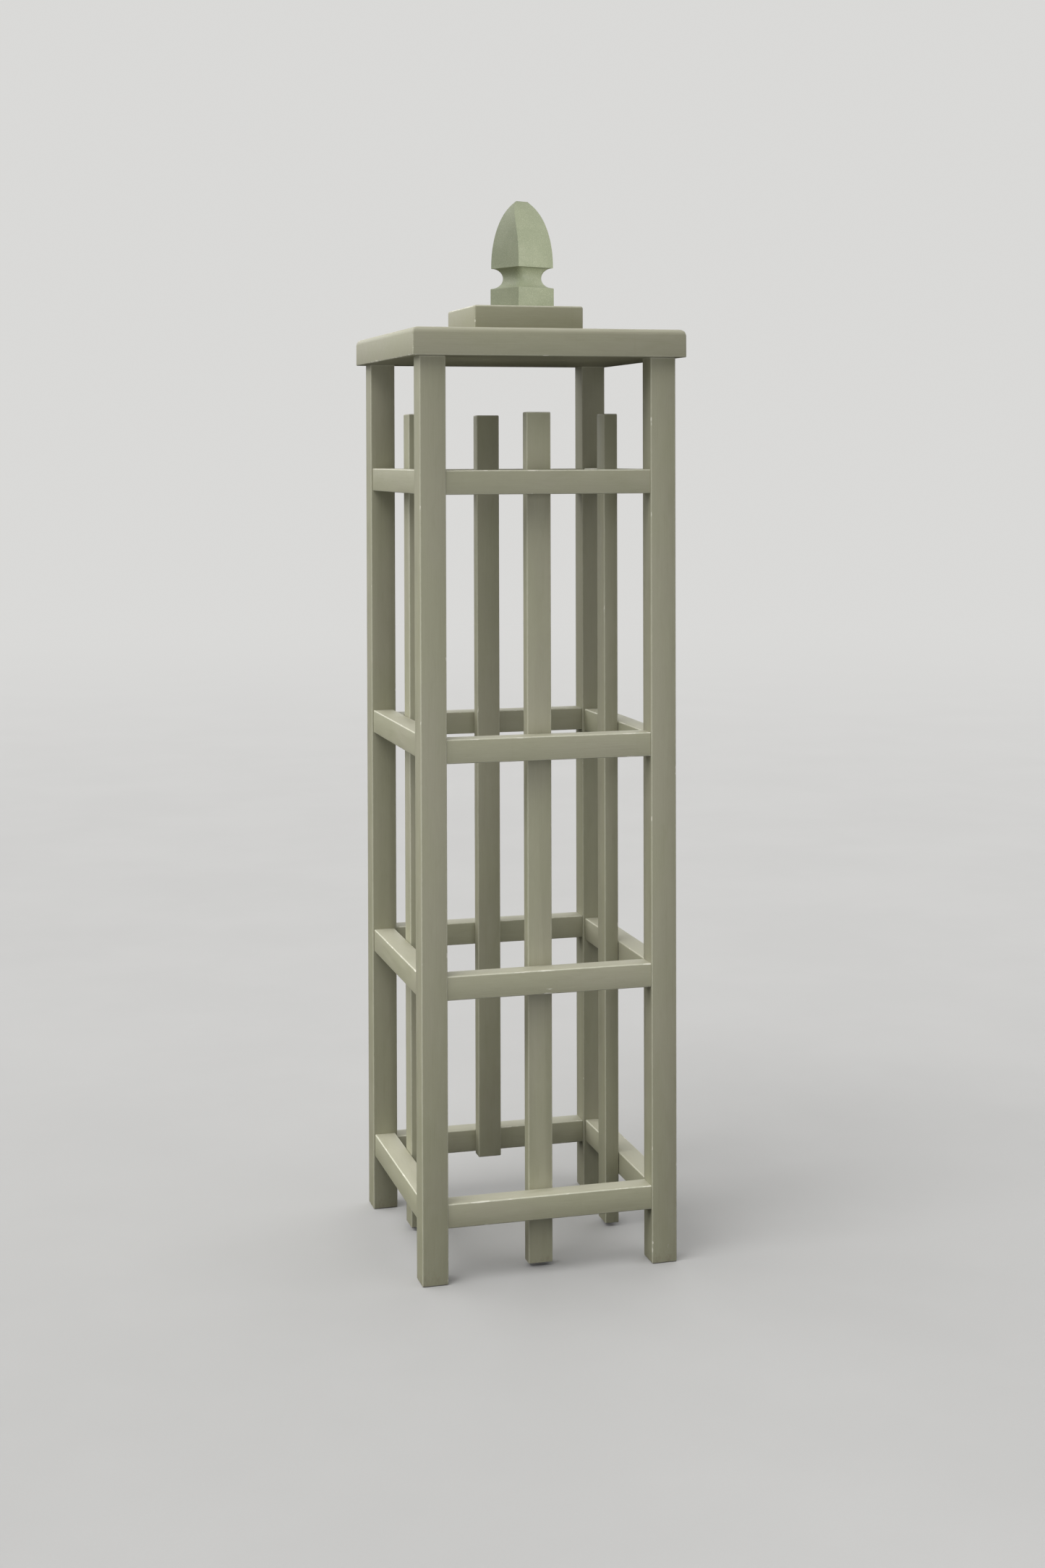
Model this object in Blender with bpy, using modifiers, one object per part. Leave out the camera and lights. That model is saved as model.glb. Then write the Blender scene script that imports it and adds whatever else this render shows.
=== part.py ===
"""Garden obelisk: a slim square tower of painted timber with a capped top and a finial.

Four posts stand on the ground. Four levels of rails are tenoned between them, and a flat slat
is dowelled to the inner side of each side's rails. A cap board sits on the post tops on hidden
dowels, a plinth block is screwed to it from below, and the finial is screwed down on the plinth.

Units are metres, +Z is up, and the origin is on the ground at the centre of the tower.
The front faces -Y. Each side is laid out as if it were the front, then turned about Z.
"""

import math

import bmesh
import bpy
from mathutils import Matrix, Vector

GAP = 0.0003  # clearance between pieces that touch

# Tower
TOWER_WIDTH = 0.440
POST_SIZE = 0.044
POST_HEIGHT = 1.524
TIMBER_EASE = 0.002  # radius of the eased long edges

# Rails: each side's underside heights, which differ by a few millimetres as hand-set rails do
LEVELS = ("bottom", "lower", "upper", "top")
RAIL_UNDERSIDES = {
    "front": (0.0915, 0.467, 0.856, 1.297),
    "right": (0.090, 0.4645, 0.8525, 1.297),
    "back": (0.088, 0.4685, 0.854, 1.296),
    "left": (0.0955, 0.467, 0.863, 1.298),
}
RAIL_HEIGHT = 0.040
RAIL_THICKNESS = 0.037
RAIL_RECESS = 0.003  # from the posts' outer faces in to the rail's

# Stub tenon at each rail end, short enough to miss the tenon that meets it in the same post
TENON_LENGTH = 0.012
TENON_THICKNESS = 0.012
TENON_HEIGHT = 0.024

# Slats
SLAT_WIDTH = 0.042
SLAT_THICKNESS = 0.025
SLAT_TOP = 1.4335
SLAT_BOTTOM = 0.0055
BACK_SLAT_BOTTOM = 0.084  # the back slat stops just below its bottom rail

# Sides: the turn about Z that takes the front there, and the slat's shift along the side
SIDE_TURNS = {"front": 0, "right": 90, "back": 180, "left": 270}
SLAT_SHIFTS = {"front": -0.0075, "right": -0.005, "back": 0.0085, "left": -0.0655}

# Each post, with the side whose rail leaves it along the side's own X, and the other side
POST_SIDES = {
    "front_left": ("front", "left"),
    "front_right": ("right", "front"),
    "back_right": ("back", "right"),
    "back_left": ("left", "back"),
}

# Cap board and plinth block
CAP_WIDTH = 0.470
CAP_THICKNESS = 0.0465
CAP_TOP_ROUND = 0.010
CAP_CORNER_ROUND = 0.004
CAP_BOTTOM_EASE = 0.002
PLINTH_WIDTH = 0.193
PLINTH_THICKNESS = 0.0452
PLINTH_TOP_ROUND = 0.004
PLINTH_CORNER_ROUND = 0.004

# Finial: a square block, a hollow neck and an acorn whose two pairs of faces curve differently
FINIAL_TURN = 23.5  # degrees about Z, against the tower
FINIAL_SHIFT = 0.014  # towards +X from the tower's axis
FINIAL_BLOCK_HALF = 0.0395
FINIAL_BLOCK_HEIGHT = 0.0353
FINIAL_ARRIS = 0.0008
FINIAL_NECK_TOP = 0.0703
FINIAL_NECK_DEPTH = 0.0106
FINIAL_NECK_ROUND = 0.014  # how much rounder the neck's corners are than the block's
FINIAL_CORNER_STEPS = 4
FINIAL_NECK_STEPS = 14
FINIAL_ACORN_HALF = 0.0386
FINIAL_HEIGHT = 0.187
FINIAL_ACORN_STEPS = 22
FINIAL_TIP_HALF = 0.0009  # half the width of the flat ridge at the tip

# Fixings
SLAT_DOWEL_RADIUS = 0.004
SLAT_DOWEL_LENGTH = 0.024
CAP_DOWEL_RADIUS = 0.006
CAP_DOWEL_LENGTH = 0.050
DOWEL_CHAMFER = 0.001
DOWEL_SIDES = 12
SCREW_LENGTH = 0.070
SCREW_SPREAD = 0.070  # each plinth screw's distance from the axis, along X and along Y
SCREW_HEAD_RADIUS = 0.0043
SCREW_HEAD_HEIGHT = 0.0034
SCREW_SHANK_RADIUS = 0.0018
SCREW_THREAD_RADIUS = 0.0023
SCREW_THREAD_LENGTH = 0.036
SCREW_PITCH = 0.006
SCREW_SIDES = 12
FINIAL_SCREW_RADIUS = 0.004
FINIAL_SCREW_CORE = 0.0032
FINIAL_SCREW_HALF = 0.034  # length on each side of the plinth's top
FINIAL_SCREW_PITCH = 0.009

# Heights that follow
CAP_BOTTOM = POST_HEIGHT + GAP
CAP_TOP = CAP_BOTTOM + CAP_THICKNESS
PLINTH_BOTTOM = CAP_TOP + GAP
PLINTH_TOP = PLINTH_BOTTOM + PLINTH_THICKNESS
FINIAL_BOTTOM = PLINTH_TOP + GAP
HALF_WIDTH = TOWER_WIDTH / 2
POST_CENTRE = HALF_WIDTH - POST_SIZE / 2
RAIL_LENGTH = TOWER_WIDTH - 2 * POST_SIZE - 2 * GAP
RAIL_CENTRE_Y = -HALF_WIDTH + RAIL_RECESS + RAIL_THICKNESS / 2
RAIL_INNER_Y = RAIL_CENTRE_Y + RAIL_THICKNESS / 2
SLAT_CENTRE_Y = RAIL_INNER_Y + GAP + SLAT_THICKNESS / 2


# Scene and materials


def clear_scene():
    for item in list(bpy.data.objects):
        bpy.data.objects.remove(item)


def new_collection(name):
    collection = bpy.data.collections.new(name)
    bpy.context.scene.collection.children.link(collection)
    return collection


def new_material(name, colour, roughness, metallic=0.0):
    material = bpy.data.materials.new(name)
    material.use_nodes = True
    surface = material.node_tree.nodes["Principled BSDF"]
    surface.inputs["Base Color"].default_value = (*colour, 1.0)
    surface.inputs["Roughness"].default_value = roughness
    surface.inputs["Metallic"].default_value = metallic
    return material


# Shapes


def draft_object(name, mesh):
    """An object that exists only while a shape is worked out."""
    draft = bpy.data.objects.new(name, mesh)
    bpy.context.scene.collection.objects.link(draft)
    return draft


def finished_mesh(draft, cutters=()):
    """The draft's mesh with its modifiers worked out. The draft and its cutters are removed."""
    bpy.context.view_layer.update()
    graph = bpy.context.evaluated_depsgraph_get()
    mesh = bpy.data.meshes.new_from_object(draft.evaluated_get(graph))
    for item in (draft, *cutters):
        bpy.data.objects.remove(item)
    return mesh


def box_mesh(name, size, centre=(0, 0, 0)):
    shape = bmesh.new()
    bmesh.ops.create_cube(shape, size=1.0)
    bmesh.ops.scale(shape, vec=Vector(size), verts=shape.verts)
    bmesh.ops.translate(shape, vec=Vector(centre), verts=shape.verts)
    mesh = bpy.data.meshes.new(name)
    shape.to_mesh(mesh)
    shape.free()
    return mesh


def rod_mesh(name, radius, length, sides=DOWEL_SIDES):
    """A cylinder along Z, centred on the origin."""
    shape = bmesh.new()
    bmesh.ops.create_cone(
        shape, cap_ends=True, segments=sides, radius1=radius, radius2=radius, depth=length
    )
    mesh = bpy.data.meshes.new(name)
    shape.to_mesh(mesh)
    shape.free()
    return mesh


def ease_edges(draft, radius_of_edge, widest, segments):
    """Rounds each edge by its own radius. radius_of_edge takes the edge's two end points."""
    mesh = draft.data
    weights = mesh.attributes.new("bevel_weight_edge", "FLOAT", "EDGE")
    for edge in mesh.edges:
        start, end = (mesh.vertices[index].co for index in edge.vertices)
        weights.data[edge.index].value = radius_of_edge(start, end) / widest
    bevel = draft.modifiers.new("eased_edges", "BEVEL")
    bevel.limit_method = "WEIGHT"
    bevel.width = widest
    bevel.segments = segments
    bevel.use_clamp_overlap = False


def edge_runs_along(start, end, axis):
    return abs((end - start).normalized()[axis]) > 0.9


def combine(draft, tool, operation):
    modifier = draft.modifiers.new(tool.name, "BOOLEAN")
    modifier.operation = operation
    modifier.object = tool
    tool.hide_render = True
    tool.display_type = "WIRE"


def cylinder_tool(name, radius, length, matrix):
    """A cylinder that combine() cuts with, laid by the matrix."""
    tool = draft_object(name, rod_mesh(name, radius, length))
    tool.data.transform(matrix)
    return tool


def turned_mesh(name, profile, sides):
    """Turns (radius, height) points, which run from the top down, about Z."""
    mesh = bpy.data.meshes.new(name)
    points = [(radius, 0.0, height) for radius, height in profile]
    mesh.from_pydata(points, [(i, i + 1) for i in range(len(points) - 1)], [])
    draft = draft_object(name, mesh)
    screw = draft.modifiers.new("turn", "SCREW")
    screw.steps = sides
    screw.render_steps = sides
    screw.use_merge_vertices = True
    screw.merge_threshold = 0.00001
    return finished_mesh(draft)


def smooth_mesh(mesh, sharp_angle):
    mesh.shade_smooth()
    mesh.set_sharp_from_angle(angle=math.radians(sharp_angle))


def place(name, mesh, material, collection, location=(0, 0, 0), turn=0.0):
    """Adds a sub-part. turn is in degrees about Z, and the location is turned with it."""
    part = bpy.data.objects.new(name, mesh)
    if not mesh.materials:
        mesh.materials.append(material)
    rotation = Matrix.Rotation(math.radians(turn), 4, "Z")
    part.location = rotation @ Vector(location)
    part.rotation_euler = (0, 0, math.radians(turn))
    collection.objects.link(part)
    return part


# Posts


def rail_middles(side):
    return [underside + RAIL_HEIGHT / 2 for underside in RAIL_UNDERSIDES[side]]


def mortise_boxes(side, other_side):
    """The centre and size of each mortise, about the axis of a post that stands front left."""
    depth = TENON_LENGTH + 2 * GAP
    along = POST_SIZE / 2 - depth / 2 + GAP / 2
    across = RAIL_CENTRE_Y + POST_CENTRE
    wide = TENON_THICKNESS + 2 * GAP
    tall = TENON_HEIGHT + 2 * GAP
    for middle in rail_middles(side):
        yield (along, across, middle), (depth + GAP, wide, tall)
    for middle in rail_middles(other_side):
        yield (across, along, middle), (wide, depth + GAP, tall)


def post_mesh(name, side, other_side):
    size = (POST_SIZE, POST_SIZE, POST_HEIGHT)
    post = draft_object(name, box_mesh(name, size, (0, 0, POST_HEIGHT / 2)))

    def radius(start, end):
        at_foot = start.z < 0.001 and end.z < 0.001
        return TIMBER_EASE if at_foot or edge_runs_along(start, end, 2) else 0.0

    ease_edges(post, radius, TIMBER_EASE, 3)
    tools = []
    for number, (centre, size) in enumerate(mortise_boxes(side, other_side)):
        mortise = f"mortise_{number}"
        tools.append(draft_object(mortise, box_mesh(mortise, size, centre)))
    dowel_hole = Matrix.Translation((0, 0, POST_HEIGHT))
    hole_length = CAP_DOWEL_LENGTH + 2 * GAP
    tools.append(cylinder_tool("post_hole", CAP_DOWEL_RADIUS + GAP, hole_length, dowel_hole))
    for tool in tools:
        combine(post, tool, "DIFFERENCE")
    return finished_mesh(post, tools)


def build_posts(material, collection):
    for corner, (side, other_side) in POST_SIDES.items():
        name = f"post_{corner}"
        mesh = post_mesh(name, side, other_side)
        foot = (-POST_CENTRE, -POST_CENTRE, 0)
        place(name, mesh, material, collection, foot, SIDE_TURNS[side])


# Rails


def rail_mesh(side):
    """A rail along X with its middle at the origin, its tenons and its hole for the slat."""
    name = f"rail_{side}"
    rail = draft_object(name, box_mesh(name, (RAIL_LENGTH, RAIL_THICKNESS, RAIL_HEIGHT)))

    def radius(start, end):
        return TIMBER_EASE if edge_runs_along(start, end, 0) else 0.0

    ease_edges(rail, radius, TIMBER_EASE, 3)
    full_length = RAIL_LENGTH + 2 * TENON_LENGTH
    tenon_size = (full_length, TENON_THICKNESS, TENON_HEIGHT)
    tenons = draft_object("tenons", box_mesh("tenons", tenon_size))
    combine(rail, tenons, "UNION")
    mouth = Matrix.Translation((SLAT_SHIFTS[side], RAIL_THICKNESS / 2, 0))
    lying = Matrix.Rotation(math.radians(90), 4, "X")
    hole_length = SLAT_DOWEL_LENGTH + 2 * GAP
    hole = cylinder_tool("rail_hole", SLAT_DOWEL_RADIUS + GAP, hole_length, mouth @ lying)
    combine(rail, hole, "DIFFERENCE")
    return finished_mesh(rail, (tenons, hole))


def build_rails(material, collection):
    for side, turn in SIDE_TURNS.items():
        mesh = rail_mesh(side)
        for level, middle in zip(LEVELS, rail_middles(side)):
            centre = (0, RAIL_CENTRE_Y, middle)
            place(f"rail_{side}_{level}", mesh, material, collection, centre, turn)


# Slats


def slat_mesh(side, bottom):
    """An upright slat centred on its own Z axis, with a dowel hole at each rail."""
    name = f"slat_{side}"
    size = (SLAT_WIDTH, SLAT_THICKNESS, SLAT_TOP - bottom)
    slat = draft_object(name, box_mesh(name, size, (0, 0, (SLAT_TOP + bottom) / 2)))
    ease_edges(slat, lambda start, end: TIMBER_EASE, TIMBER_EASE, 3)
    lying = Matrix.Rotation(math.radians(90), 4, "X")
    hole_length = SLAT_DOWEL_LENGTH + 2 * GAP
    tools = []
    for level, middle in zip(LEVELS, rail_middles(side)):
        mouth = Matrix.Translation((0, -SLAT_THICKNESS / 2, middle))
        hole = f"slat_hole_{level}"
        tools.append(cylinder_tool(hole, SLAT_DOWEL_RADIUS + GAP, hole_length, mouth @ lying))
    for tool in tools:
        combine(slat, tool, "DIFFERENCE")
    return finished_mesh(slat, tools)


def build_slats(material, collection):
    for side, turn in SIDE_TURNS.items():
        bottom = BACK_SLAT_BOTTOM if side == "back" else SLAT_BOTTOM
        mesh = slat_mesh(side, bottom)
        foot = (SLAT_SHIFTS[side], SLAT_CENTRE_Y, 0)
        place(f"slat_{side}", mesh, material, collection, foot, turn)


# Cap board and plinth


def screw_places():
    for x in (-SCREW_SPREAD, SCREW_SPREAD):
        for y in (-SCREW_SPREAD, SCREW_SPREAD):
            yield x, y


def screw_bore(name, x, y):
    """The countersunk clearance hole that a plinth screw passes through in the cap board."""
    clear = SCREW_THREAD_RADIUS + GAP
    flare = SCREW_HEAD_RADIUS + GAP
    seat = CAP_BOTTOM + SCREW_HEAD_HEIGHT + GAP
    profile = [
        (0, CAP_TOP + CAP_BOTTOM_EASE),
        (clear, CAP_TOP + CAP_BOTTOM_EASE),
        (clear, seat),
        (flare, CAP_BOTTOM + GAP),
        (flare, CAP_BOTTOM - CAP_BOTTOM_EASE),
        (0, CAP_BOTTOM - CAP_BOTTOM_EASE),
    ]
    tool = draft_object(name, turned_mesh(name, profile, SCREW_SIDES))
    tool.data.transform(Matrix.Translation((x, y, 0)))
    return tool


def cap_mesh():
    size = (CAP_WIDTH, CAP_WIDTH, CAP_THICKNESS)
    middle = (CAP_TOP + CAP_BOTTOM) / 2
    cap = draft_object("cap_board", box_mesh("cap_board", size, (0, 0, middle)))

    def radius(start, end):
        if edge_runs_along(start, end, 2):
            return CAP_CORNER_ROUND
        return CAP_TOP_ROUND if start.z > middle else CAP_BOTTOM_EASE

    ease_edges(cap, radius, CAP_TOP_ROUND, 4)
    tools = []
    hole_length = CAP_DOWEL_LENGTH + 2 * GAP
    for corner, (side, _) in POST_SIDES.items():
        over_post = Matrix.Translation((-POST_CENTRE, -POST_CENTRE, CAP_BOTTOM))
        matrix = Matrix.Rotation(math.radians(SIDE_TURNS[side]), 4, "Z") @ over_post
        name = f"cap_hole_{corner}"
        tools.append(cylinder_tool(name, CAP_DOWEL_RADIUS + GAP, hole_length, matrix))
    for number, (x, y) in enumerate(screw_places()):
        tools.append(screw_bore(f"cap_bore_{number}", x, y))
    for tool in tools:
        combine(cap, tool, "DIFFERENCE")
    return finished_mesh(cap, tools)


def plinth_mesh():
    size = (PLINTH_WIDTH, PLINTH_WIDTH, PLINTH_THICKNESS)
    middle = (PLINTH_TOP + PLINTH_BOTTOM) / 2
    plinth = draft_object("plinth_block", box_mesh("plinth_block", size, (0, 0, middle)))

    def radius(start, end):
        if edge_runs_along(start, end, 2):
            return PLINTH_CORNER_ROUND
        return PLINTH_TOP_ROUND if start.z > middle else CAP_BOTTOM_EASE

    ease_edges(plinth, radius, PLINTH_TOP_ROUND, 3)
    tools = []
    screw_reach = CAP_BOTTOM + SCREW_LENGTH - PLINTH_BOTTOM
    for number, (x, y) in enumerate(screw_places()):
        mouth = Matrix.Translation((x, y, PLINTH_BOTTOM))
        pilot = SCREW_THREAD_RADIUS + GAP
        name = f"plinth_pilot_{number}"
        tools.append(cylinder_tool(name, pilot, 2 * (screw_reach + 2 * GAP), mouth))
    mouth = Matrix.Translation((FINIAL_SHIFT, 0, PLINTH_TOP))
    depth = FINIAL_SCREW_HALF + 2 * GAP
    tools.append(cylinder_tool("plinth_hole", FINIAL_SCREW_RADIUS + GAP, 2 * depth, mouth))
    for tool in tools:
        combine(plinth, tool, "DIFFERENCE")
    return finished_mesh(plinth, tools)


# Finial


def neck_ring(step):
    """One ring of the hollow neck: an arc of an ellipse, from the block up to the acorn."""
    turn = math.pi * step / FINIAL_NECK_STEPS
    middle = (FINIAL_BLOCK_HEIGHT + FINIAL_NECK_TOP) / 2
    rise = (FINIAL_NECK_TOP - FINIAL_BLOCK_HEIGHT) / 2
    half = FINIAL_BLOCK_HALF - FINIAL_ARRIS - FINIAL_NECK_DEPTH * math.sin(turn)
    corner = FINIAL_ARRIS + FINIAL_NECK_ROUND * math.sin(turn)
    return half, half, middle - rise * math.cos(turn), corner


def acorn_ring(step):
    """One ring of the acorn. The first pair of faces closes to a ridge, the second stays apart."""
    rise = math.sin(math.pi / 2 * step / FINIAL_ACORN_STEPS)
    narrow = FINIAL_ACORN_HALF * (1 - rise**2.3)
    broad = FINIAL_ACORN_HALF * (1 - 0.30 * rise**2 - 0.367 * rise**8)
    start = FINIAL_NECK_TOP + FINIAL_ARRIS
    narrow = max(narrow, FINIAL_TIP_HALF)
    return broad, narrow, start + (FINIAL_HEIGHT - start) * rise, min(FINIAL_ARRIS, narrow * 2 / 3)


def finial_rings():
    """Half sizes along the finial's own X and Y, height and corner radius, from the bottom up."""
    block = FINIAL_BLOCK_HALF
    eased = block - FINIAL_ARRIS
    yield eased, eased, 0.0, FINIAL_ARRIS
    yield block, block, FINIAL_ARRIS, FINIAL_ARRIS
    yield block, block, FINIAL_BLOCK_HEIGHT - FINIAL_ARRIS, FINIAL_ARRIS
    for step in range(FINIAL_NECK_STEPS + 1):
        yield neck_ring(step)
    for step in range(FINIAL_ACORN_STEPS + 1):
        yield acorn_ring(step)


def ring_points(half_x, half_y, height, corner):
    """A rectangle with rounded corners, counter-clockwise."""
    for turn in range(4):
        side_x, side_y = ((1, 1), (-1, 1), (-1, -1), (1, -1))[turn]
        centre_x, centre_y = side_x * (half_x - corner), side_y * (half_y - corner)
        for step in range(FINIAL_CORNER_STEPS + 1):
            angle = math.pi / 2 * (turn + step / FINIAL_CORNER_STEPS)
            yield centre_x + corner * math.cos(angle), centre_y + corner * math.sin(angle), height


def finial_mesh():
    """A loft through rounded rectangles of changing proportion, which no single modifier makes."""
    shape = bmesh.new()
    rings = [[shape.verts.new(point) for point in ring_points(*ring)] for ring in finial_rings()]
    count = len(rings[0])
    for lower, upper in zip(rings, rings[1:]):
        for i in range(count):
            j = (i + 1) % count
            shape.faces.new((lower[i], lower[j], upper[j], upper[i]))
    shape.faces.new(reversed(rings[0]))
    shape.faces.new(rings[-1])
    mesh = bpy.data.meshes.new("finial")
    shape.to_mesh(mesh)
    shape.free()
    finial = draft_object("finial", mesh)
    depth = FINIAL_SCREW_HALF + 2 * GAP
    mouth = Matrix.Translation((0, 0, 0))
    hole = cylinder_tool("finial_hole", FINIAL_SCREW_RADIUS + GAP, 2 * depth, mouth)
    combine(finial, hole, "DIFFERENCE")
    mesh = finished_mesh(finial, (hole,))
    smooth_mesh(mesh, 30)
    return mesh


def build_finial(material, collection):
    finial = place("finial", finial_mesh(), material, collection)
    finial.location = (FINIAL_SHIFT, 0, FINIAL_BOTTOM)
    finial.rotation_euler = (0, 0, math.radians(FINIAL_TURN))


# Fixings


def dowel_mesh(name, radius, length):
    draft = draft_object(name, rod_mesh(name, radius, length))

    def chamfer(start, end):
        return 0.0 if edge_runs_along(start, end, 2) else DOWEL_CHAMFER

    ease_edges(draft, chamfer, DOWEL_CHAMFER, 1)
    mesh = finished_mesh(draft)
    smooth_mesh(mesh, 30)
    return mesh


def thread_profile(core, crest, top, bottom, pitch):
    """The (radius, height) points of a thread's ridges, from the top down."""
    turns = round((top - bottom) / pitch)
    points = []
    for turn in range(turns):
        height = top - turn * (top - bottom) / turns
        points.append((core, height))
        points.append((crest, height - pitch * 0.45))
        points.append((core, height - pitch * 0.55))
    points.append((core, bottom))
    return points


def plinth_screw_mesh():
    """A countersunk screw that points up, with its head's face at height 0 and a cross recess."""
    thread_top = SCREW_LENGTH - 0.006
    thread_bottom = SCREW_LENGTH - SCREW_THREAD_LENGTH
    core = SCREW_SHANK_RADIUS * 0.9
    profile = [(0, SCREW_LENGTH)]
    profile += thread_profile(core, SCREW_THREAD_RADIUS, thread_top, thread_bottom, SCREW_PITCH)
    profile += [
        (SCREW_SHANK_RADIUS, thread_bottom - 0.001),
        (SCREW_SHANK_RADIUS, SCREW_HEAD_HEIGHT),
        (SCREW_HEAD_RADIUS, 0.0005),
        (SCREW_HEAD_RADIUS, 0),
        (0, 0),
    ]
    screw = draft_object("plinth_screw", turned_mesh("plinth_screw", profile, SCREW_SIDES))
    tools = []
    for name, size in (("slot_x", (0.0050, 0.0010, 0.0040)), ("slot_y", (0.0010, 0.0050, 0.0040))):
        tools.append(draft_object(name, box_mesh(name, size)))
    for tool in tools:
        combine(screw, tool, "DIFFERENCE")
    mesh = finished_mesh(screw, tools)
    smooth_mesh(mesh, 30)
    return mesh


def finial_screw_mesh():
    """A headless double-ended screw along Z: threaded to both ends, with a plain waist."""
    waist = 0.003
    tip = FINIAL_SCREW_HALF - 0.005
    profile = [(0, FINIAL_SCREW_HALF)]
    core = FINIAL_SCREW_CORE
    crest = FINIAL_SCREW_RADIUS
    profile += thread_profile(core, crest, tip, waist, FINIAL_SCREW_PITCH)
    profile += thread_profile(core, crest, -waist, -tip, FINIAL_SCREW_PITCH)
    profile.append((0, -FINIAL_SCREW_HALF))
    mesh = turned_mesh("finial_screw", profile, SCREW_SIDES)
    smooth_mesh(mesh, 30)
    return mesh


def build_slat_dowels(material, collection):
    mesh = dowel_mesh("slat_dowel", SLAT_DOWEL_RADIUS, SLAT_DOWEL_LENGTH)
    mesh.transform(Matrix.Rotation(math.radians(90), 4, "X"))
    for side, turn in SIDE_TURNS.items():
        for level, middle in zip(LEVELS, rail_middles(side)):
            joint = (SLAT_SHIFTS[side], RAIL_INNER_Y + GAP / 2, middle)
            place(f"slat_dowel_{side}_{level}", mesh, material, collection, joint, turn)


def build_cap_dowels(material, collection):
    mesh = dowel_mesh("cap_dowel", CAP_DOWEL_RADIUS, CAP_DOWEL_LENGTH)
    for corner, (side, _) in POST_SIDES.items():
        joint = (-POST_CENTRE, -POST_CENTRE, POST_HEIGHT + GAP / 2)
        place(f"cap_dowel_{corner}", mesh, material, collection, joint, SIDE_TURNS[side])


def build_screws(material, collection):
    mesh = plinth_screw_mesh()
    corners = ("front_left", "back_left", "front_right", "back_right")
    for corner, (x, y) in zip(corners, screw_places()):
        head = (x, y, CAP_BOTTOM + GAP)
        place(f"plinth_screw_{corner}", mesh, material, collection, head)
    centre = (FINIAL_SHIFT, 0, PLINTH_TOP + GAP / 2)
    place("finial_screw", finial_screw_mesh(), material, collection, centre)


def main():
    clear_scene()
    obelisk = new_collection("garden_obelisk")
    sage_paint = new_material("sage_paint", (0.31, 0.30, 0.21), 0.55)
    finial_paint = new_material("finial_paint", (0.36, 0.40, 0.25), 0.60)
    beech = new_material("beech_dowel", (0.55, 0.38, 0.22), 0.70)
    steel = new_material("zinc_steel", (0.60, 0.60, 0.58), 0.35, 1.0)
    build_posts(sage_paint, obelisk)
    build_rails(sage_paint, obelisk)
    build_slats(sage_paint, obelisk)
    place("cap_board", cap_mesh(), sage_paint, obelisk)
    place("plinth_block", plinth_mesh(), sage_paint, obelisk)
    build_finial(finial_paint, obelisk)
    build_slat_dowels(beech, obelisk)
    build_cap_dowels(beech, obelisk)
    build_screws(steel, obelisk)


main()
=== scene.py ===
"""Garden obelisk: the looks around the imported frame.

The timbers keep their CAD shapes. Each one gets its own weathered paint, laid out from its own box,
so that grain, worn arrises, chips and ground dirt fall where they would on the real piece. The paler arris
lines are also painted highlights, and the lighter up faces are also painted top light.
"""

import math

import bmesh
import bpy
from mathutils import Matrix, Vector


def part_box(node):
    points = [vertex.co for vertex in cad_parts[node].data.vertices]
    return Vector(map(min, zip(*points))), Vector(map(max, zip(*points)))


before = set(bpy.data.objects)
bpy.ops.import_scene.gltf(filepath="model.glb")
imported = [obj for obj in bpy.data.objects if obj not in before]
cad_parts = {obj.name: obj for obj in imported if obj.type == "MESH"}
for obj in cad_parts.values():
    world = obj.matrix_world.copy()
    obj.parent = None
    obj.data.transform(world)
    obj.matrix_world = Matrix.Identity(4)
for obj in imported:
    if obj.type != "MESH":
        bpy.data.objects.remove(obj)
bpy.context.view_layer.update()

# Camera, in the row frame
IMAGE_HEIGHT = 2168
FOCAL_PIXELS = 3099.67
CAMERA_PLACE = (-1.02642, -3.77888, 1.36405)
CAMERA_YAW = 15.390  # degrees, towards +X from +Y
CAMERA_PITCH = 0.9707  # degrees down
CAMERA_ROLL = -0.1588
CENTRE_ROW = 679.66  # image row of the lens axis
SENSOR = 36.0

# How readily the paint chips
RAIL_WEAR = 0.035
POST_WEAR = 0.0  # and the slats, cap board and plinth block

# Worn stretches: where along a piece, from -1 to 1, how much of it, and how bare
WORN = {
    "rail_front_lower": ((-0.02, 0.14, 0.15), (0.93, 0.07, 0.15), (-0.72, 0.09, 0.07)),
    "rail_front_bottom": ((-0.60, 0.20, 0.12), (0.90, 0.09, 0.14), (0.15, 0.12, 0.06)),
    "rail_front_upper": ((0.93, 0.06, 0.15), (-0.30, 0.12, 0.06)),
    "rail_left_lower": ((-0.80, 0.12, 0.12), (0.35, 0.10, 0.08)),
    "rail_left_bottom": ((-0.75, 0.14, 0.12),),
    "cap_board": ((-0.98, 0.04, 0.16), (-0.05, 0.05, 0.11), (0.62, 0.04, 0.09)),
    "plinth_block": ((-0.97, 0.05, 0.16),),
    "post_front_left": ((-0.93, 0.03, 0.16), (-0.55, 0.02, 0.12), (0.36, 0.03, 0.10)),
    "post_front_right": ((-0.96, 0.02, 0.18), (0.10, 0.03, 0.09)),
}

# Paint, linear colours
PAINT = (0.309, 0.304, 0.208)
PAINT_GREY = (0.318, 0.306, 0.222)
PAINT_PALE = (0.362, 0.358, 0.258)
PAINT_DEEP = (0.250, 0.250, 0.160)
# Paler arris line: partly paint worn thin, partly a painted highlight
ARRIS_WEAR_AND_HIGHLIGHT = (0.520, 0.512, 0.405)
PRIMER = (0.640, 0.625, 0.530)
SOIL = (0.150, 0.122, 0.080)
# Dust, also painted top light: it makes every up face lighter
DUST_AND_TOP_LIGHT = (0.405, 0.392, 0.300)
FINIAL_SHADED = (0.208, 0.229, 0.144)
FINIAL_PAINT = (0.234, 0.254, 0.164)
FINIAL_MOTTLE = (0.300, 0.325, 0.225)
FINIAL_LIGHT_SPECK = (0.345, 0.370, 0.265)
FINIAL_DARK_SPECK = (0.150, 0.168, 0.100)

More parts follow.
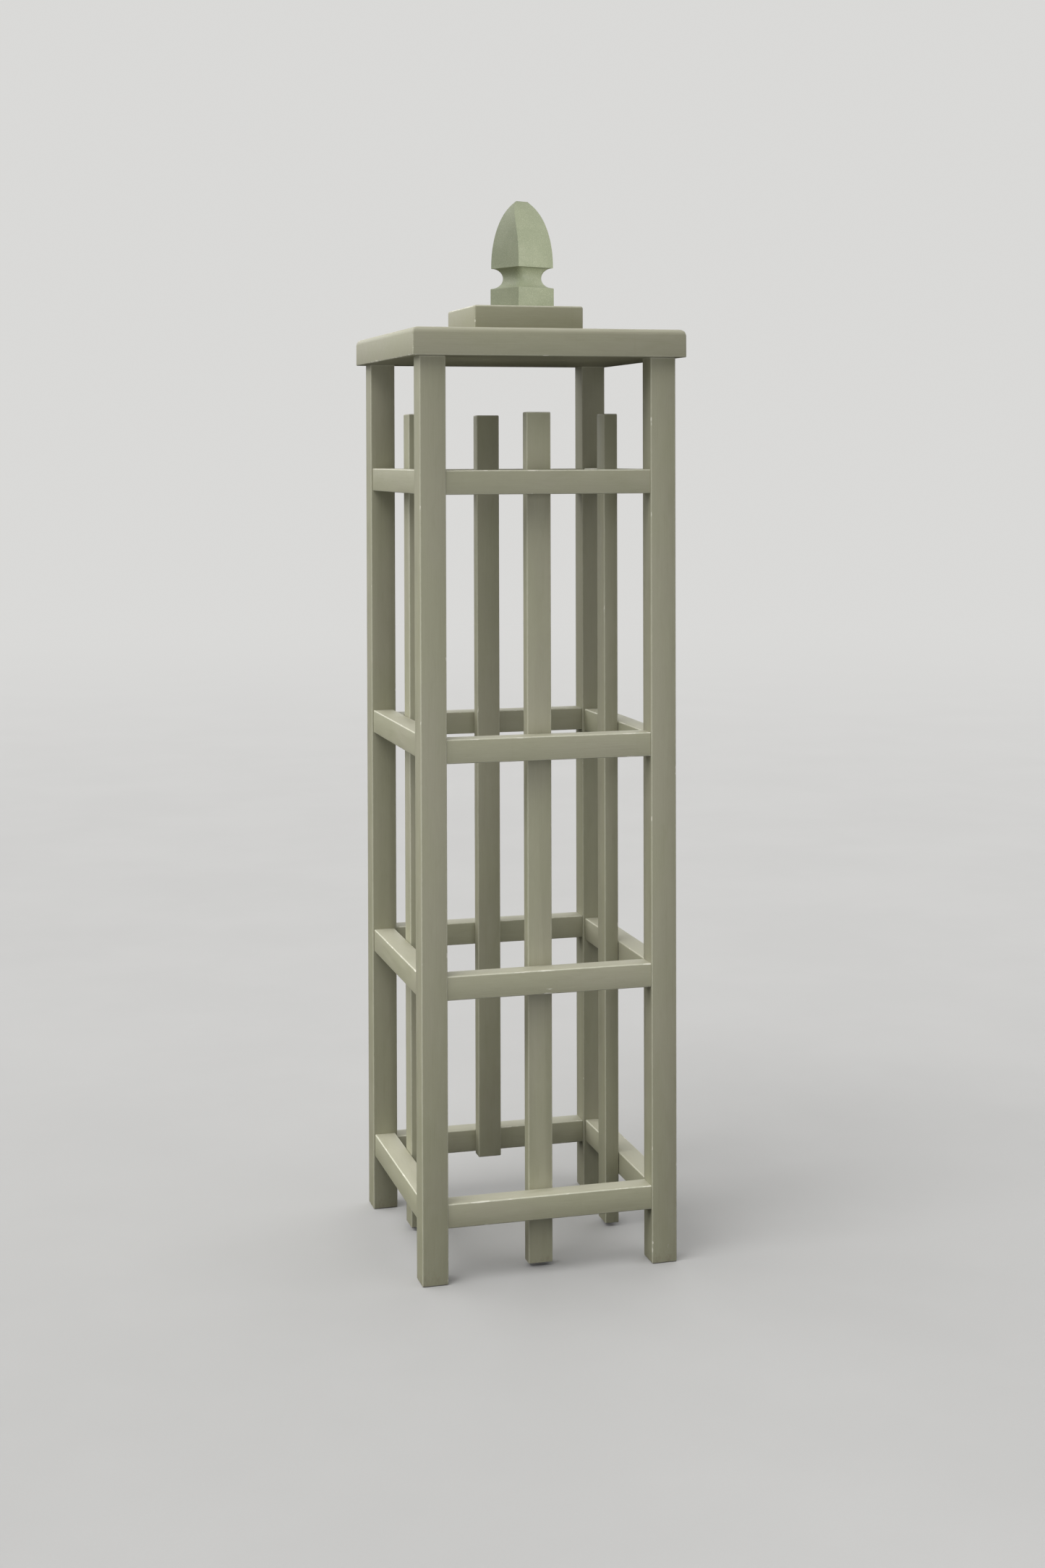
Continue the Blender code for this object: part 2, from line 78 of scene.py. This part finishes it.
# Fixings, linear colours
BEECH_DARK = (0.50, 0.33, 0.19)
BEECH_LIGHT = (0.62, 0.45, 0.28)
BEECH_FLECK = (0.33, 0.19, 0.10)
ZINC_BRIGHT = (0.62, 0.62, 0.60)
ZINC_DULL = (0.47, 0.47, 0.44)

# Each timber takes the noises from its own place. For each axis: the step from one timber to the next,
# and the span after which the steps start over
NOISE_SHIFTS = ((3.17, 11), (5.71, 13), (7.39, 17))

WELD_DISTANCE = 0.00001
SMOOTH_ANGLE = 32  # degrees: sharper edges than this stay sharp


class Tree:
    """Adds nodes to one node tree, a call per node, and links whatever is handed in."""

    def __init__(self, tree):
        self.tree = tree

    def node(self, kind, inputs=(), **settings):
        made = self.tree.nodes.new(kind)
        for key, value in settings.items():
            setattr(made, key, value)
        for key, value in dict(inputs).items():
            self.feed(made.inputs[key], value)
        return made

    def feed(self, socket, value):
        if isinstance(value, bpy.types.NodeSocket):
            self.tree.links.new(value, socket)
        elif value is not None:
            if socket.type == "RGBA" and len(value) == 3:
                value = (*value, 1.0)
            socket.default_value = value

    def math(self, operation, a, b=None, c=None, clamp=False):
        made = self.node("ShaderNodeMath", operation=operation, use_clamp=clamp)
        for index, value in enumerate((a, b, c)):
            self.feed(made.inputs[index], value)
        return made.outputs[0]

    def vector(self, operation, a, b=None):
        made = self.node("ShaderNodeVectorMath", operation=operation)
        self.feed(made.inputs[0], a)
        self.feed(made.inputs[1], b)
        return made.outputs[0]

    def scaled(self, vector, scales):
        return self.vector("MULTIPLY", vector, scales)

    def split(self, vector):
        return self.node("ShaderNodeSeparateXYZ", {"Vector": vector}).outputs

    def joined(self, x, y, z):
        return self.node("ShaderNodeCombineXYZ", {"X": x, "Y": y, "Z": z}).outputs[0]

    def noise(self, vector, detail=2.0, rough=0.5, distort=0.0):
        made = self.node(
            "ShaderNodeTexNoise",
            {"Vector": vector, "Scale": 1.0, "Detail": detail, "Roughness": rough, "Distortion": distort},
        )
        return made.outputs["Fac"]

    def fade(self, value, low, high, to_low=0.0, to_high=1.0):
        """Smoothly from to_low at low to to_high at high."""
        made = self.node("ShaderNodeMapRange", interpolation_type="SMOOTHSTEP")
        for index, number in enumerate((value, low, high, to_low, to_high)):
            self.feed(made.inputs[index], number)
        return made.outputs[0]

    def mix(self, share, a, b):
        made = self.node("ShaderNodeMix", data_type="RGBA")
        self.feed(made.inputs[0], share)
        self.feed(made.inputs[6], a)
        self.feed(made.inputs[7], b)
        return made.outputs[2]

    def bump(self, height, distance, strength):
        made = self.node("ShaderNodeBump", {"Height": height, "Distance": distance, "Strength": strength})
        return made.outputs[0]


def group_tree(name, inputs, outputs):
    tree = bpy.data.node_groups.new(name, "ShaderNodeTree")
    for label, kind in inputs:
        tree.interface.new_socket(label, in_out="INPUT", socket_type=kind)
    for label, kind in outputs:
        tree.interface.new_socket(label, in_out="OUTPUT", socket_type=kind)
    return Tree(tree), tree.nodes.new("NodeGroupInput").outputs, tree.nodes.new("NodeGroupOutput").inputs


def edge_distance(t, local, half):
    """How far a point on a block's surface is from the block's nearest edge."""
    x, y, z = t.split(t.vector("SUBTRACT", half, t.vector("ABSOLUTE", local)))
    low = t.math("MINIMUM", x, y)
    high = t.math("MAXIMUM", x, y)
    return t.math("MAXIMUM", low, t.math("MINIMUM", high, z))


def paint_group():
    """Weathered satin paint on timber.

    Local is the point in the timber's own box, with the grain along Z. Place is it in the row frame.
    """
    t, given, out = group_tree(
        "weathered_paint",
        [
            ("Local", "NodeSocketVector"),
            ("Half", "NodeSocketVector"),
            ("Place", "NodeSocketVector"),
            ("Shift", "NodeSocketVector"),
            ("Wear", "NodeSocketFloat"),
        ],
        [("Color", "NodeSocketColor"), ("Roughness", "NodeSocketFloat"), ("Normal", "NodeSocketVector")],
    )
    local, place = given["Local"], given["Place"]
    seeded = t.vector("ADD", local, given["Shift"])
    edge = edge_distance(t, local, given["Half"])
    up = t.split(t.node("ShaderNodeNewGeometry").outputs["Normal"])[2]

    blotch = t.noise(t.scaled(seeded, (9, 9, 4)), 3.0, 0.55)
    patch = t.noise(t.scaled(seeded, (70, 70, 17)), 4.0, 0.6, 0.4)
    grain = t.noise(t.scaled(seeded, (420, 420, 9)), 3.0, 0.6, 0.25)
    brush = t.noise(t.scaled(seeded, (1700, 1700, 22)), 2.0, 0.5)
    peel = t.noise(t.scaled(seeded, (900, 900, 700)), 2.0, 0.55)
    ragged = t.noise(t.scaled(seeded, (260, 260, 120)), 4.0, 0.65)

    colour = t.mix(t.fade(blotch, 0.36, 0.66), PAINT, PAINT_GREY)
    colour = t.mix(t.fade(patch, 0.45, 0.78, 0.0, 0.30), colour, PAINT_PALE)
    colour = t.mix(t.fade(patch, 0.50, 0.26, 0.0, 0.26), colour, PAINT_DEEP)
    colour = t.mix(t.fade(grain, 0.52, 0.80, 0.0, 0.15), colour, PAINT_PALE)
    colour = t.mix(t.fade(grain, 0.46, 0.24, 0.0, 0.16), colour, PAINT_DEEP)
    colour = t.mix(t.fade(brush, 0.40, 0.70, 0.0, 0.10), colour, PAINT_PALE)

    # Dust on what faces up, which also paints those faces lighter as painted light from above
    dust_and_top_light = t.math("MULTIPLY", t.fade(up, 0.25, 0.95), t.fade(patch, 0.25, 0.7, 0.45, 0.85))
    colour = t.mix(dust_and_top_light, colour, DUST_AND_TOP_LIGHT)

    # Rain runs: faint darker streaks down upright faces
    runs = t.noise(t.scaled(t.vector("ADD", place, given["Shift"]), (95, 95, 3.2)), 3.0, 0.6, 0.3)
    upright = t.fade(t.math("ABSOLUTE", up), 0.6, 0.2)
    run = t.math("MULTIPLY", t.fade(runs, 0.56, 0.80, 0.0, 0.15), upright)
    colour = t.mix(run, colour, PAINT_DEEP)

    # A little splashed soil on the lowest centimetre or two
    height = t.math("ADD", t.split(place)[2], t.math("MULTIPLY", t.math("SUBTRACT", ragged, 0.5), 0.06))
    splash = t.math("MULTIPLY", t.fade(height, 0.022, -0.006), t.fade(patch, 0.35, 0.70, 0.05, 0.50))
    colour = t.mix(splash, colour, SOIL)

    # Arris: the paint thins to a paler line, which is also a painted highlight, most on crests that face
    # up, and chips down to the primer
    reach = t.math("MULTIPLY_ADD", t.math("SUBTRACT", ragged, 0.5), 0.0026, edge)
    crest = t.math("MULTIPLY", t.fade(up, 0.10, 0.45), t.fade(reach, 0.0045, 0.0016))
    thin_paint_and_highlight = t.math("MULTIPLY", t.fade(reach, 0.0026, 0.0008), t.math("MULTIPLY_ADD", crest, 0.50, 0.45))
    colour = t.mix(thin_paint_and_highlight, colour, ARRIS_WEAR_AND_HIGHLIGHT)
    spots = t.noise(t.scaled(seeded, (85, 85, 24)), 3.0, 0.62)
    spots = t.math("ADD", spots, given["Wear"])
    loose = t.math("MULTIPLY_ADD", crest, 0.07, spots)
    worn = t.math("MULTIPLY_ADD", t.fade(reach, 0.0045, 0.0004), 0.19, loose)
    chip = t.fade(worn, 0.875, 0.90)
    colour = t.mix(chip, colour, PRIMER)

    rough = t.fade(patch, 0.25, 0.75, 0.46, 0.60)
    rough = t.math("ADD", rough, t.math("MULTIPLY", t.math("ADD", dust_and_top_light, splash), 0.18))
    rough = t.math("ADD", rough, t.math("MULTIPLY", t.math("SUBTRACT", brush, 0.5), 0.12), clamp=True)

    relief = t.math("MULTIPLY", t.math("SUBTRACT", grain, 0.5), 0.55)
    relief = t.math("MULTIPLY_ADD", t.math("SUBTRACT", brush, 0.5), 0.22, relief)
    relief = t.math("MULTIPLY_ADD", t.math("SUBTRACT", peel, 0.5), 0.16, relief)
    relief = t.math("MULTIPLY_ADD", t.math("SUBTRACT", patch, 0.5), 1.3, relief)
    relief = t.math("MULTIPLY_ADD", chip, -0.9, relief)

    t.feed(out["Color"], colour)
    t.feed(out["Roughness"], rough)
    t.feed(out["Normal"], t.bump(relief, 0.0005, 0.55))
    return t.tree


def new_material(name):
    material = bpy.data.materials.new(name)
    material.use_nodes = True
    material.node_tree.nodes.clear()
    return material, Tree(material.node_tree)


def finish_material(t, colour, rough, normal, metallic=0.0):
    looks = {"Base Color": colour, "Roughness": rough, "Normal": normal, "Metallic": metallic}
    surface = t.node("ShaderNodeBsdfPrincipled", looks)
    t.node("ShaderNodeOutputMaterial", {"Surface": surface.outputs[0]})


def long_axis(node):
    low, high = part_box(node)
    size = high - low
    return max(range(3), key=lambda axis: size[axis])


def painted(node, group, seed, wear):
    """The paint of one timber, with its grain along its longest side."""
    low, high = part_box(node)
    centre, half = (low + high) / 2, (high - low) / 2
    axis = long_axis(node)
    order = ((axis + 1) % 3, (axis + 2) % 3, axis)
    material, t = new_material("paint_" + node)
    place = t.node("ShaderNodeTexCoord").outputs["Object"]
    parts = t.split(t.vector("SUBTRACT", place, centre))
    local = t.joined(*[parts[i] for i in order])
    for middle, reach, bare in WORN.get(node, ()):
        along = t.math("SUBTRACT", parts[axis], middle * half[axis])
        along = t.math("MULTIPLY", along, 1 / half[axis])
        stretch = t.fade(t.math("ABSOLUTE", along), reach, reach * 0.35, 0.0, bare)
        wear = t.math("ADD", wear, stretch)
    paint = t.node("ShaderNodeGroup", node_tree=group)
    shift = [seed * step % span for step, span in NOISE_SHIFTS]
    for label, value in (
        ("Local", local),
        ("Half", [half[i] for i in order]),
        ("Place", place),
        ("Shift", shift),
        ("Wear", wear),
    ):
        t.feed(paint.inputs[label], value)
    finish_material(t, *[paint.outputs[label] for label in ("Color", "Roughness", "Normal")])
    return material


def finial_paint():
    """Matt sprayed paint with a fine speckle, greener than the timbers'."""
    material, t = new_material("paint_finial")
    place = t.node("ShaderNodeTexCoord").outputs["Object"]
    blotch = t.noise(t.scaled(place, (22, 22, 22)), 3.0, 0.6)
    mottle = t.noise(t.scaled(place, (190, 190, 190)), 3.0, 0.65)
    speckle = t.noise(t.scaled(place, (720, 720, 600)), 3.0, 0.7)
    colour = t.mix(t.fade(blotch, 0.35, 0.68), FINIAL_SHADED, FINIAL_PAINT)
    colour = t.mix(t.fade(mottle, 0.55, 0.75, 0.0, 0.30), colour, FINIAL_MOTTLE)
    colour = t.mix(t.fade(speckle, 0.53, 0.69, 0.0, 0.70), colour, FINIAL_LIGHT_SPECK)
    colour = t.mix(t.fade(speckle, 0.46, 0.32, 0.0, 0.60), colour, FINIAL_DARK_SPECK)
    rough = t.fade(mottle, 0.3, 0.7, 0.55, 0.70)
    relief = t.math("MULTIPLY_ADD", mottle, 0.8, speckle)
    finish_material(t, colour, rough, t.bump(relief, 0.0003, 0.6))
    return material


def beech():
    """Bare turned beech, with its short darker flecks."""
    material, t = new_material("bare_beech")
    place = t.node("ShaderNodeTexCoord").outputs["Object"]
    grain = t.noise(t.scaled(place, (600, 600, 45)), 3.0, 0.6, 0.3)
    fleck = t.noise(t.scaled(place, (1500, 1500, 320)), 2.0, 0.5)
    colour = t.mix(t.fade(grain, 0.3, 0.7), BEECH_DARK, BEECH_LIGHT)
    colour = t.mix(t.fade(fleck, 0.60, 0.72, 0.0, 0.6), colour, BEECH_FLECK)
    finish_material(t, colour, t.fade(grain, 0.3, 0.7, 0.55, 0.70), t.bump(grain, 0.0002, 0.5))
    return material


def zinc():
    """Bright zinc plate with drawing marks and dull spots."""
    material, t = new_material("zinc_plate")
    place = t.node("ShaderNodeTexCoord").outputs["Object"]
    marks = t.noise(t.scaled(place, (300, 300, 2500)), 3.0, 0.6)
    dull = t.noise(t.scaled(place, (240, 240, 240)), 4.0, 0.6)
    colour = t.mix(t.fade(dull, 0.4, 0.7), ZINC_BRIGHT, ZINC_DULL)
    finish_material(t, colour, t.fade(dull, 0.3, 0.7, 0.26, 0.45), t.bump(marks, 0.0001, 0.4), metallic=1.0)
    return material


def smooth_tree():
    """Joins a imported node's loose triangles and shades its rounded edges smoothly."""
    tree = bpy.data.node_groups.new("smooth_by_angle", "GeometryNodeTree")
    tree.interface.new_socket("Geometry", in_out="INPUT", socket_type="NodeSocketGeometry")
    tree.interface.new_socket("Geometry", in_out="OUTPUT", socket_type="NodeSocketGeometry")
    t = Tree(tree)
    start, end = tree.nodes.new("NodeGroupInput"), tree.nodes.new("NodeGroupOutput")
    bare = t.node("GeometryNodeRemoveAttribute", {"Geometry": start.outputs[0], "Name": "custom_normal"})
    welded = t.node("GeometryNodeMergeByDistance", {"Geometry": bare.outputs[0], "Distance": WELD_DISTANCE})
    angle = t.node("GeometryNodeInputMeshEdgeAngle").outputs["Unsigned Angle"]
    compared = {0: angle, 1: math.radians(SMOOTH_ANGLE)}
    soft = t.node("FunctionNodeCompare", compared, data_type="FLOAT", operation="LESS_EQUAL")
    faces = t.node("GeometryNodeSetShadeSmooth", {0: welded.outputs[0], 2: True}, domain="FACE")
    edges = t.node("GeometryNodeSetShadeSmooth", {0: faces.outputs[0], 2: soft.outputs[0]}, domain="EDGE")
    t.feed(end.inputs[0], edges.outputs[0])
    return tree


def dress_nodes():
    """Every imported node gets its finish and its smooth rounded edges."""
    group, smoothing = paint_group(), smooth_tree()
    finial, wood, steel = finial_paint(), beech(), zinc()
    for seed, (name, node) in enumerate(sorted(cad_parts.items())):
        slot = node.material_slots[0].name.split(".")[0]
        if slot == "sage_paint":
            wear = RAIL_WEAR if name.startswith("rail") else POST_WEAR
            material = painted(name, group, seed + 1, wear)
        elif slot == "finial_paint":
            material = finial
        else:
            material = wood if slot == "beech_dowel" else steel
        node.material_slots[0].material = material
        node.modifiers.new("smooth", "NODES").node_group = smoothing


# Stage

FLOOR_COLOUR = (0.430, 0.427, 0.419)
BACKDROP = (0.700, 0.697, 0.684)
DOME_COLOUR = (1.0, 1.0, 1.0)
FLOOR_REACH = 600.0
FLOOR_DROP = 0.0004  # just under the posts' feet
FLOOR_FADE = (2.5, 14.0)  # how far out the floor turns into the backdrop
DOME_AT_HORIZON = 0.13
DOME_RISE = 0.30  # how much brighter it is overhead
PATCH_REACH = 60.0  # degrees of azimuth to each side

# Each patch of the dome: its strength, then lowest, brightest and highest elevation, and azimuth
LIGHT_PATCHES = (
    (3.8, (0.0, 25.0, 55.0, 120.0)),
    (6.3, (25.0, 55.0, 90.0, 60.0)),
    (1.5, (25.0, 55.0, 90.0, -60.0)),
    (3.0, (0.0, 18.0, 45.0, -125.0)),
    (1.9, (0.0, 18.0, 45.0, 180.0)),
)

# Each softbox: its place, the point it faces, its width and height, and its power in watts
FRONT_BOX = ((0, -1.55, 0.70), (0, 0, 0.70), (1.3, 2.0), 11.6)
LEFT_BOX = ((-1.7, -0.2, 0.70), (0, 0, 0.70), (1.2, 1.3), 8.5)
FINIAL_BOX = ((0.73, -1.14, 1.78), (0.014, 0, 1.70), (0.2, 0.2), 0.33)
FINIAL_BOX_SPREAD = 24.0  # degrees


def build_floor():
    """A pale floor that fades into the backdrop far away."""
    mesh = bpy.data.meshes.new("studio_floor")
    shape = bmesh.new()
    bmesh.ops.create_circle(shape, cap_ends=True, radius=FLOOR_REACH, segments=96)
    shape.to_mesh(mesh)
    shape.free()
    floor = bpy.data.objects.new("studio_floor", mesh)
    floor.location.z = -FLOOR_DROP
    bpy.context.scene.collection.objects.link(floor)
    floor.visible_diffuse = False
    floor.visible_glossy = False
    material, t = new_material("studio_floor")
    place = t.node("ShaderNodeTexCoord").outputs["Object"]
    cloud = t.noise(t.scaled(place, (1.7, 1.7, 1.7)), 4.0, 0.6)
    grit = t.noise(t.scaled(place, (240, 240, 240)), 3.0, 0.6)
    colour = t.mix(t.fade(cloud, 0.3, 0.7), FLOOR_COLOUR, [c * 1.035 for c in FLOOR_COLOUR])
    colour = t.mix(t.fade(grit, 0.35, 0.7, 0.0, 0.10), colour, [c * 0.93 for c in FLOOR_COLOUR])
    plaster = t.node("ShaderNodeBsdfPrincipled", {"Base Color": colour, "Roughness": 0.85})
    t.feed(plaster.inputs["Normal"], t.bump(grit, 0.0004, 0.25))
    glow = t.node("ShaderNodeEmission", {"Color": BACKDROP})
    distance = t.node("ShaderNodeVectorMath", {0: place}, operation="LENGTH").outputs["Value"]
    blend = t.node("ShaderNodeMixShader", {0: t.fade(distance, *FLOOR_FADE)})
    t.feed(blend.inputs[1], plaster.outputs[0])
    t.feed(blend.inputs[2], glow.outputs[0])
    t.node("ShaderNodeOutputMaterial", {"Surface": blend.outputs[0]})
    mesh.materials.append(material)
    return floor


def light_patch(t, elevation, azimuth, low, peak, high, centre):
    """A broad soft patch of the dome. Azimuth is from the front towards the left, all in degrees."""
    rise = t.math("DIVIDE", t.math("SUBTRACT", elevation, low), peak - low, clamp=True)
    fall = t.math("DIVIDE", t.math("SUBTRACT", high, elevation), high - peak, clamp=True)
    off = t.math("WRAP", t.math("SUBTRACT", azimuth, centre), 180.0, -180.0)
    off = t.math("MINIMUM", t.math("ABSOLUTE", off), PATCH_REACH)
    window = t.math("COSINE", t.math("MULTIPLY", off, math.pi / 2 / PATCH_REACH))
    return t.math("MULTIPLY", t.math("MINIMUM", rise, fall), t.math("MULTIPLY", window, window))


def build_world():
    """A dome of soft light, brightest above and on the left. The camera sees a plain pale backdrop."""
    world = bpy.data.worlds.new("studio")
    bpy.context.scene.world = world
    world.use_nodes = True
    world.node_tree.nodes.clear()
    t = Tree(world.node_tree)
    x, y, z = t.split(t.node("ShaderNodeTexCoord").outputs["Generated"])
    elevation = t.math("MULTIPLY", t.math("ARCSINE", z), 180 / math.pi)
    flipped = t.math("MULTIPLY", x, -1.0), t.math("MULTIPLY", y, -1.0)
    azimuth = t.math("MULTIPLY", t.math("ARCTAN2", *flipped), 180 / math.pi)
    horizon = t.fade(elevation, -4.0, -1.0, 0.0, DOME_AT_HORIZON)
    power = t.math("ADD", horizon, t.fade(elevation, 0.0, 80.0, 0.0, DOME_RISE))
    for strength, patch in LIGHT_PATCHES:
        power = t.math("MULTIPLY_ADD", light_patch(t, elevation, azimuth, *patch), strength, power)
    dome = t.node("ShaderNodeBackground", {"Color": DOME_COLOUR, "Strength": power})
    backdrop = t.node("ShaderNodeBackground", {"Color": BACKDROP, "Strength": 1.0})
    seen = t.node("ShaderNodeLightPath").outputs["Is Camera Ray"]
    blend = t.node("ShaderNodeMixShader", {0: seen})
    t.feed(blend.inputs[1], dome.outputs[0])
    t.feed(blend.inputs[2], backdrop.outputs[0])
    t.node("ShaderNodeOutputWorld", {"Surface": blend.outputs[0]})


def softbox(name, place, target, size, power, lit, spread=180.0):
    lamp = bpy.data.lights.new(name, "AREA")
    lamp.shape = "RECTANGLE"
    lamp.size, lamp.size_y = size
    lamp.energy = power
    lamp.spread = math.radians(spread)
    made = bpy.data.objects.new(name, lamp)
    made.location = place
    made.rotation_euler = (Vector(target) - Vector(place)).to_track_quat("-Z", "Y").to_euler()
    made.visible_camera = False
    made.light_linking.receiver_collection = lit
    bpy.context.scene.collection.objects.link(made)


def light_set(name, state, pieces):
    """The pieces that a lamp lights, or those that it leaves out."""
    made = bpy.data.collections.new(name)
    for piece in pieces:
        made.objects.link(piece)
    for entry in made.collection_objects:
        entry.light_linking.link_state = state
    return made


def build_lights(floor):
    """Near softboxes that leave no bright pools on the floor, and one lamp for the finial's right side."""
    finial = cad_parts["finial"]
    not_floor = light_set("all_but_floor", "EXCLUDE", [floor])
    timbers = light_set("all_but_floor_and_finial", "EXCLUDE", [floor, finial])
    finial_only = light_set("finial_only", "INCLUDE", [finial])
    softbox("front_box", *FRONT_BOX, not_floor)
    softbox("left_box", *LEFT_BOX, timbers)
    softbox("finial_box", *FINIAL_BOX, finial_only, FINIAL_BOX_SPREAD)


def build_camera():
    lens = bpy.data.cameras.new("camera")
    lens.sensor_width = SENSOR
    lens.lens = FOCAL_PIXELS / IMAGE_HEIGHT * SENSOR
    lens.shift_y = (CENTRE_ROW - IMAGE_HEIGHT / 2) / IMAGE_HEIGHT
    camera = bpy.data.objects.new("camera", lens)
    turn = Matrix.Rotation(-math.radians(CAMERA_YAW), 4, "Z")
    tilt = Matrix.Rotation(math.radians(90 - CAMERA_PITCH), 4, "X")
    roll = Matrix.Rotation(math.radians(CAMERA_ROLL), 4, "Z")
    camera.matrix_world = Matrix.Translation(CAMERA_PLACE) @ turn @ tilt @ roll
    bpy.context.scene.collection.objects.link(camera)
    bpy.context.scene.camera = camera


bpy.context.scene.view_settings.view_transform = "Standard"
dress_nodes()
studio_floor = build_floor()
build_world()
build_lights(studio_floor)
build_camera()
